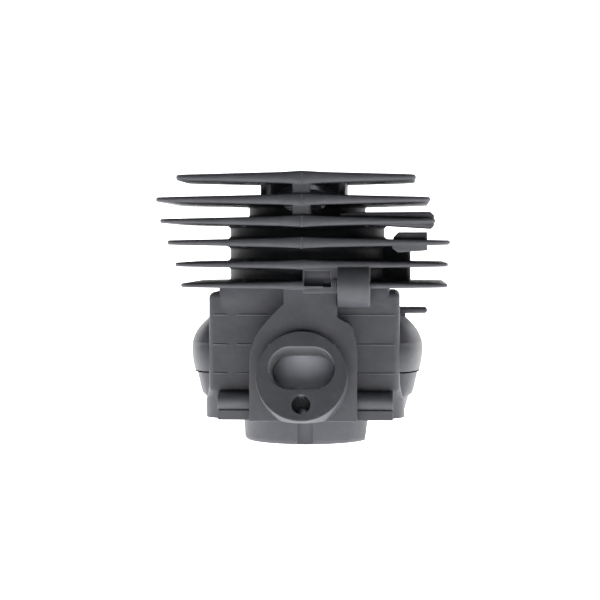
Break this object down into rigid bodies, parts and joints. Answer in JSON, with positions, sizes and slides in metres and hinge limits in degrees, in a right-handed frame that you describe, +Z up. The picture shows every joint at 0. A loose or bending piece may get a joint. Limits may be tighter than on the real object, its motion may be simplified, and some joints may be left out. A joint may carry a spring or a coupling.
{
  "type": "engine cylinder",
  "caption": "Air-cooled two-stroke engine cylinder with integral finned head, piston, rings, wrist pin and needle bearing.",
  "frame": {"origin": "bore axis at the spigot's lower rim", "axes": "+Z up the bore to the head, -Y out of the intake flange, +Y out of the exhaust flange, X along the wrist pin"},
  "size_m": [0.1248, 0.11, 0.1177],
  "materials": {
    "heat_paint": "die-cast aluminium in matt dark grey heat-resistant paint",
    "piston_alloy": "turned aluminium-silicon alloy",
    "ring_iron": "ground cast iron",
    "ground_steel": "hardened and ground bearing steel",
    "spring_steel": "oiled spring steel wire",
    "cage_steel": "case-hardened steel cage"
  },
  "bodies": {
    "casting": {"cylinder_casting": "heat_paint"},
    "piston_set": {"piston": "piston_alloy", "piston_ring_upper": "ring_iron", "piston_ring_lower": "ring_iron", "ring_locating_pin_upper": "ground_steel", "ring_locating_pin_lower": "ground_steel", "circlip_left": "spring_steel", "circlip_right": "spring_steel"},
    "wrist_pin": {"wrist_pin": "ground_steel"},
    "bearing_cage": {"small_end_bearing_cage": "cage_steel"},
    "needle_roller_01": {"needle_roller_01": "ground_steel"},
    "needle_roller_02": {"needle_roller_02": "ground_steel"},
    "needle_roller_03": {"needle_roller_03": "ground_steel"},
    "needle_roller_04": {"needle_roller_04": "ground_steel"},
    "needle_roller_05": {"needle_roller_05": "ground_steel"},
    "needle_roller_06": {"needle_roller_06": "ground_steel"},
    "needle_roller_07": {"needle_roller_07": "ground_steel"},
    "needle_roller_08": {"needle_roller_08": "ground_steel"},
    "needle_roller_09": {"needle_roller_09": "ground_steel"},
    "needle_roller_10": {"needle_roller_10": "ground_steel"},
    "needle_roller_11": {"needle_roller_11": "ground_steel"},
    "needle_roller_12": {"needle_roller_12": "ground_steel"}
  },
  "joints": [
    {"name": "piston_stroke", "type": "slide", "parent": "casting", "child": "piston_set", "axis": [0, 0, 1], "range_m": [0, 0.036]},
    {"name": "wrist_pin_spin", "type": "hinge", "parent": "piston_set", "child": "wrist_pin", "pos_m": [0, 0, 0.0216], "axis": [1, 0, 0], "continuous": true},
    {"name": "cage_spin", "type": "hinge", "parent": "piston_set", "child": "bearing_cage", "pos_m": [0, 0, 0.0216], "axis": [1, 0, 0], "continuous": true},
    {"name": "needle_roller_01_spin", "type": "hinge", "parent": "bearing_cage", "child": "needle_roller_01", "pos_m": [0, 0.00735, 0.0216], "axis": [1, 0, 0], "continuous": true},
    {"name": "needle_roller_02_spin", "type": "hinge", "parent": "bearing_cage", "child": "needle_roller_02", "pos_m": [0, 0.00637, 0.02527], "axis": [1, 0, 0], "continuous": true},
    {"name": "needle_roller_03_spin", "type": "hinge", "parent": "bearing_cage", "child": "needle_roller_03", "pos_m": [0, 0.00367, 0.02797], "axis": [1, 0, 0], "continuous": true},
    {"name": "needle_roller_04_spin", "type": "hinge", "parent": "bearing_cage", "child": "needle_roller_04", "pos_m": [0, 0, 0.02895], "axis": [1, 0, 0], "continuous": true},
    {"name": "needle_roller_05_spin", "type": "hinge", "parent": "bearing_cage", "child": "needle_roller_05", "pos_m": [0, -0.00367, 0.02797], "axis": [1, 0, 0], "continuous": true},
    {"name": "needle_roller_06_spin", "type": "hinge", "parent": "bearing_cage", "child": "needle_roller_06", "pos_m": [0, -0.00637, 0.02527], "axis": [1, 0, 0], "continuous": true},
    {"name": "needle_roller_07_spin", "type": "hinge", "parent": "bearing_cage", "child": "needle_roller_07", "pos_m": [0, -0.00735, 0.0216], "axis": [1, 0, 0], "continuous": true},
    {"name": "needle_roller_08_spin", "type": "hinge", "parent": "bearing_cage", "child": "needle_roller_08", "pos_m": [0, -0.00637, 0.01792], "axis": [1, 0, 0], "continuous": true},
    {"name": "needle_roller_09_spin", "type": "hinge", "parent": "bearing_cage", "child": "needle_roller_09", "pos_m": [0, -0.00367, 0.01523], "axis": [1, 0, 0], "continuous": true},
    {"name": "needle_roller_10_spin", "type": "hinge", "parent": "bearing_cage", "child": "needle_roller_10", "pos_m": [0, 0, 0.01425], "axis": [1, 0, 0], "continuous": true},
    {"name": "needle_roller_11_spin", "type": "hinge", "parent": "bearing_cage", "child": "needle_roller_11", "pos_m": [0, 0.00367, 0.01523], "axis": [1, 0, 0], "continuous": true},
    {"name": "needle_roller_12_spin", "type": "hinge", "parent": "bearing_cage", "child": "needle_roller_12", "pos_m": [0, 0.00637, 0.01792], "axis": [1, 0, 0], "continuous": true}
  ],
  "couplings": [
    {"joint": "needle_roller_01_spin", "follows": "cage_spin", "ratio": 6},
    {"joint": "needle_roller_02_spin", "follows": "cage_spin", "ratio": 6},
    {"joint": "needle_roller_03_spin", "follows": "cage_spin", "ratio": 6},
    {"joint": "needle_roller_04_spin", "follows": "cage_spin", "ratio": 6},
    {"joint": "needle_roller_05_spin", "follows": "cage_spin", "ratio": 6},
    {"joint": "needle_roller_06_spin", "follows": "cage_spin", "ratio": 6},
    {"joint": "needle_roller_07_spin", "follows": "cage_spin", "ratio": 6},
    {"joint": "needle_roller_08_spin", "follows": "cage_spin", "ratio": 6},
    {"joint": "needle_roller_09_spin", "follows": "cage_spin", "ratio": 6},
    {"joint": "needle_roller_10_spin", "follows": "cage_spin", "ratio": 6},
    {"joint": "needle_roller_11_spin", "follows": "cage_spin", "ratio": 6},
    {"joint": "needle_roller_12_spin", "follows": "cage_spin", "ratio": 6}
  ]
}
